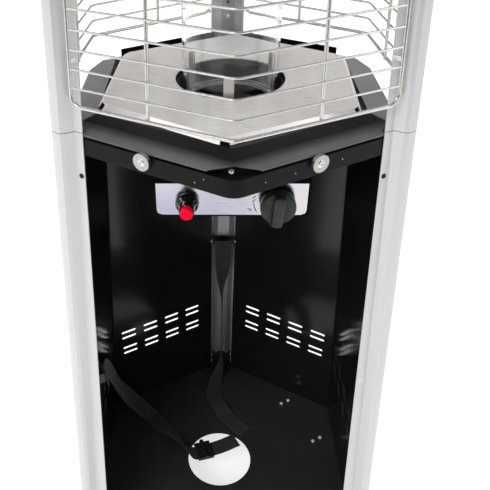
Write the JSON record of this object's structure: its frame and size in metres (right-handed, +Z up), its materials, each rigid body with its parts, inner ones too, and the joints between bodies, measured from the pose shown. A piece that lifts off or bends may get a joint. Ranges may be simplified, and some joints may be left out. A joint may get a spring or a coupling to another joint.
{
  "type": "pyramid patio heater",
  "caption": "Tapering three-sided gas patio heater with an open black cabinet, a control panel, a reflector plate, wire guards and a glass flame tube.",
  "frame": {"origin": "on the ground under the middle of the whole heater", "axes": "+Z up along the flame tube, the open front of the cabinet towards -Y, +X to the right as seen from the front"},
  "size_m": [0.4864, 0.5352, 1.807],
  "materials": {
    "black_gloss_paint": "gloss",
    "black_satin_paint": "satin",
    "silver_paint": "satin",
    "dark_steel": "satin",
    "polished_steel": "polished",
    "zinc_steel": "zinc plated",
    "black_rubber": "matte",
    "black_plastic": "satin",
    "red_plastic": "gloss",
    "brass": "plain",
    "copper": "plain copper",
    "white_ceramic": "glazed",
    "black_webbing": "woven",
    "clear_glass": "clear"
  },
  "bodies": {
    "heater": {"base_tray": "black_gloss_paint", "burner_gas_pipe": "brass", "burner_head": "polished_steel", "burner_venturi": "zinc_steel", "burner_well": "black_satin_paint", "control_bracket": "black_satin_paint", "control_fascia": "polished_steel", "door_magnet_left": "polished_steel", "door_magnet_right": "polished_steel", "foot_back": "black_rubber", "foot_left": "black_rubber", "foot_right": "black_rubber", "front_band": "black_gloss_paint", "gas_inlet_nipple": "brass", "gas_valve": "brass", "glass_tube": "clear_glass", "guard_front": "polished_steel", "guard_left": "polished_steel", "guard_right": "polished_steel", "hood": "black_gloss_paint", "igniter_body": "black_plastic", "pilot_burner": "brass", "pilot_gas_pipe": "copper", "post_channel_back": "dark_steel", "post_channel_left": "dark_steel", "post_channel_right": "dark_steel", "post_cover_lower_back": "silver_paint", "post_cover_lower_left": "silver_paint", "post_cover_lower_right": "silver_paint", "post_cover_upper_back": "silver_paint", "post_cover_upper_left": "silver_paint", "post_cover_upper_right": "silver_paint", "post_foot_bracket_back": "dark_steel", "post_foot_bracket_left": "dark_steel", "post_foot_bracket_right": "dark_steel", "reflector_plate": "polished_steel", "roof": "black_gloss_paint", "roof_spacer_front": "zinc_steel", "roof_spacer_left": "zinc_steel", "roof_spacer_right": "zinc_steel", "side_panel_left": "black_gloss_paint", "side_panel_right": "black_gloss_paint", "spark_electrode": "white_ceramic", "strap_back": "black_webbing", "strap_bracket_back": "zinc_steel", "strap_bracket_left": "zinc_steel", "strap_buckle": "zinc_steel", "strap_left": "black_webbing", "thermocouple": "copper", "tilt_switch": "black_satin_paint", "top_plate": "black_gloss_paint", "tube_seat": "polished_steel", "tube_top_ring": "zinc_steel", "wheel_axle": "zinc_steel", "wheel_bracket": "zinc_steel"},
    "spindle": {"valve_spindle": "zinc_steel"},
    "knob": {"gas_knob": "black_plastic"},
    "button": {"igniter_button": "red_plastic"},
    "front_wheel": {"wheel_front": "black_rubber"},
    "rear_wheel": {"wheel_rear": "black_rubber"}
  },
  "joints": [
    {"name": "knob_push", "type": "slide", "parent": "heater", "child": "spindle", "axis": [0, 1, 0], "range_m": [0, 0.004], "stiffness_N_per_m": 800},
    {"name": "knob_turn", "type": "hinge", "parent": "spindle", "child": "knob", "pos_m": [0.0502, -0.16023, 0.723], "axis": [0, -1, 0], "range_deg": [0, 210]},
    {"name": "ignition_press", "type": "slide", "parent": "heater", "child": "button", "axis": [0, 1, 0], "range_m": [0, 0.005], "stiffness_N_per_m": 900},
    {"name": "front_wheel_spin", "type": "hinge", "parent": "heater", "child": "front_wheel", "pos_m": [0.20872, 0.08026, 0.03], "axis": [-0.5, 0.866, 0], "continuous": true},
    {"name": "rear_wheel_spin", "type": "hinge", "parent": "heater", "child": "rear_wheel", "pos_m": [0.18272, 0.12529, 0.03], "axis": [-0.5, 0.866, 0], "continuous": true}
  ]
}
